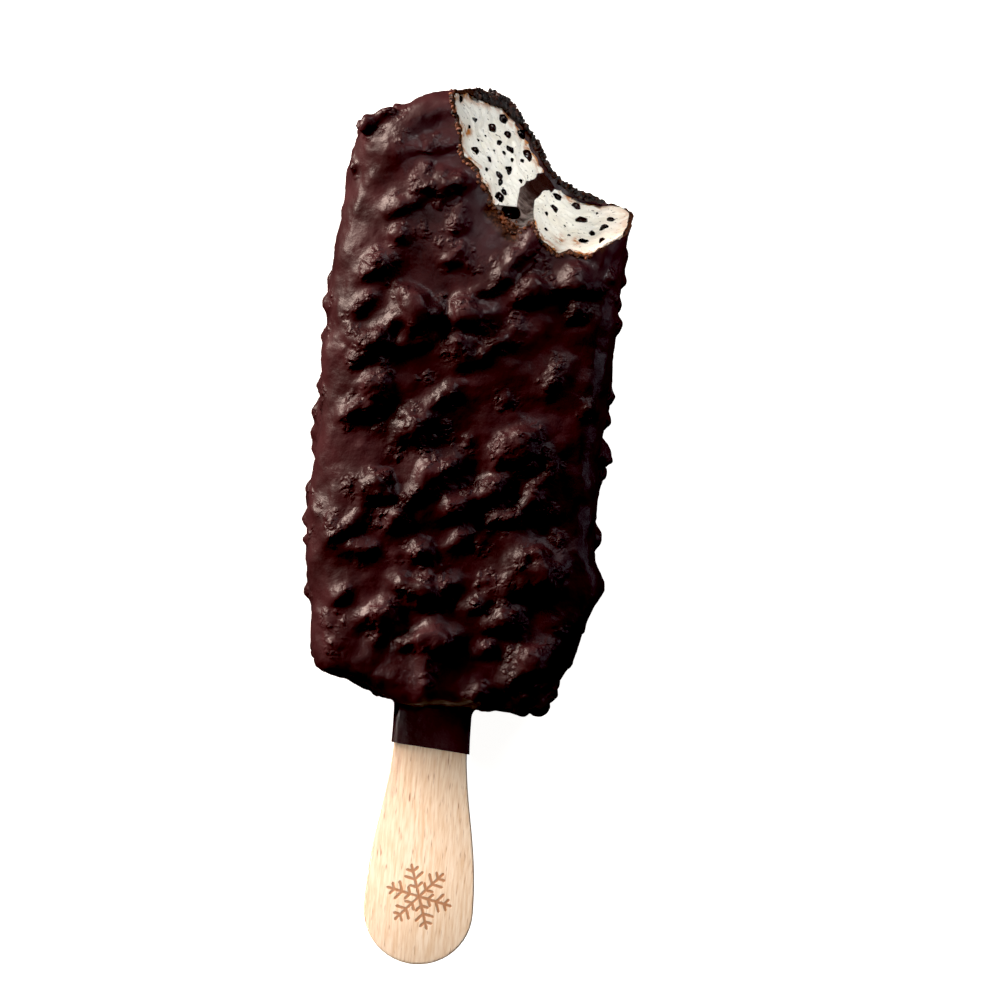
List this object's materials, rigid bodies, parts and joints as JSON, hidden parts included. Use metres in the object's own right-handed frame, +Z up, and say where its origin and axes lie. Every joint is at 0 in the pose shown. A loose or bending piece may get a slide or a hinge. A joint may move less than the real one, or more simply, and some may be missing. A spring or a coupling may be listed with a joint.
{
  "type": "ice cream bar",
  "caption": "Bitten ice cream bar on a flat wooden stick: ice cream with dark chips and a fudge ribbon, in a dark chocolate coating studded with chopped nuts, lying on its back.",
  "frame": {"origin": "middle of the bounding box's underside: the table, below the middle of the bar and stick together", "axes": "+Y along the bar from the stick's grip to the bitten top, +X to the right as seen from the face that shows, +Z up, out of that face"},
  "size_m": [0.0488, 0.1398, 0.0277],
  "materials": {
    "dark_chocolate": "satin dark chocolate over chopped nuts, glossier where it pooled",
    "ice_cream": "frozen off-white ice cream, rough where it is bitten, with dark chocolate chips",
    "fudge": "glossy dark fudge",
    "beech": "plain sanded beech with short dark flecks, and a small burnt-in star of ice"
  },
  "bodies": {
    "root": {"chocolate_coating": "dark_chocolate", "ice_cream": "ice_cream", "fudge_ribbon": "fudge", "stick": "beech"}
  },
  "joints": []
}
